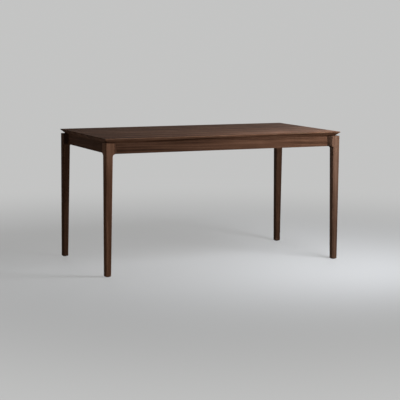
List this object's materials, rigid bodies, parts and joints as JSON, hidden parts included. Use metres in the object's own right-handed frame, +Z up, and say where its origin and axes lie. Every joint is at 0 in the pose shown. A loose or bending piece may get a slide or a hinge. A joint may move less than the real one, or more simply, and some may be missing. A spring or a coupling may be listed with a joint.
{
  "type": "dining table",
  "caption": "Rectangular dining table in dark solid wood: thin top with an undercut bevelled edge, recessed aprons and tapered rounded legs with shouldered heads.",
  "frame": {"origin": "on the floor, under the middle of the table top", "axes": "+X along the length of the table, +Y across it from front to back, +Z up"},
  "size_m": [1.48, 0.73, 0.76],
  "materials": {
    "top_wood": "satin oiled dark brown, grain along the table",
    "frame_wood": "satin oiled dark brown, grain along each piece",
    "inner_wood": "plain unstained hardwood",
    "zinc_steel": "bright zinc plate",
    "glide_plastic": "dark brown nylon"
  },
  "bodies": {
    "root": {"top_board_1": "top_wood", "top_board_2": "top_wood", "top_board_3": "top_wood", "top_board_4": "top_wood", "top_board_5": "top_wood", "apron_front": "frame_wood", "apron_back": "frame_wood", "apron_left": "frame_wood", "apron_right": "frame_wood", "leg_front_left": "frame_wood", "leg_front_right": "frame_wood", "leg_back_left": "frame_wood", "leg_back_right": "frame_wood", "corner_block_front_left": "inner_wood", "corner_block_front_right": "inner_wood", "corner_block_back_left": "inner_wood", "corner_block_back_right": "inner_wood", "cross_rail_left": "inner_wood", "cross_rail_right": "inner_wood", "top_buttons": "inner_wood", "apron_dowels": "inner_wood", "hanger_bolts": "zinc_steel", "hanger_washers": "zinc_steel", "hanger_nuts": "zinc_steel", "block_screws": "zinc_steel", "button_screws": "zinc_steel", "rail_screws": "zinc_steel", "floor_glide_front_left": "glide_plastic", "floor_glide_front_right": "glide_plastic", "floor_glide_back_left": "glide_plastic", "floor_glide_back_right": "glide_plastic"}
  },
  "joints": []
}
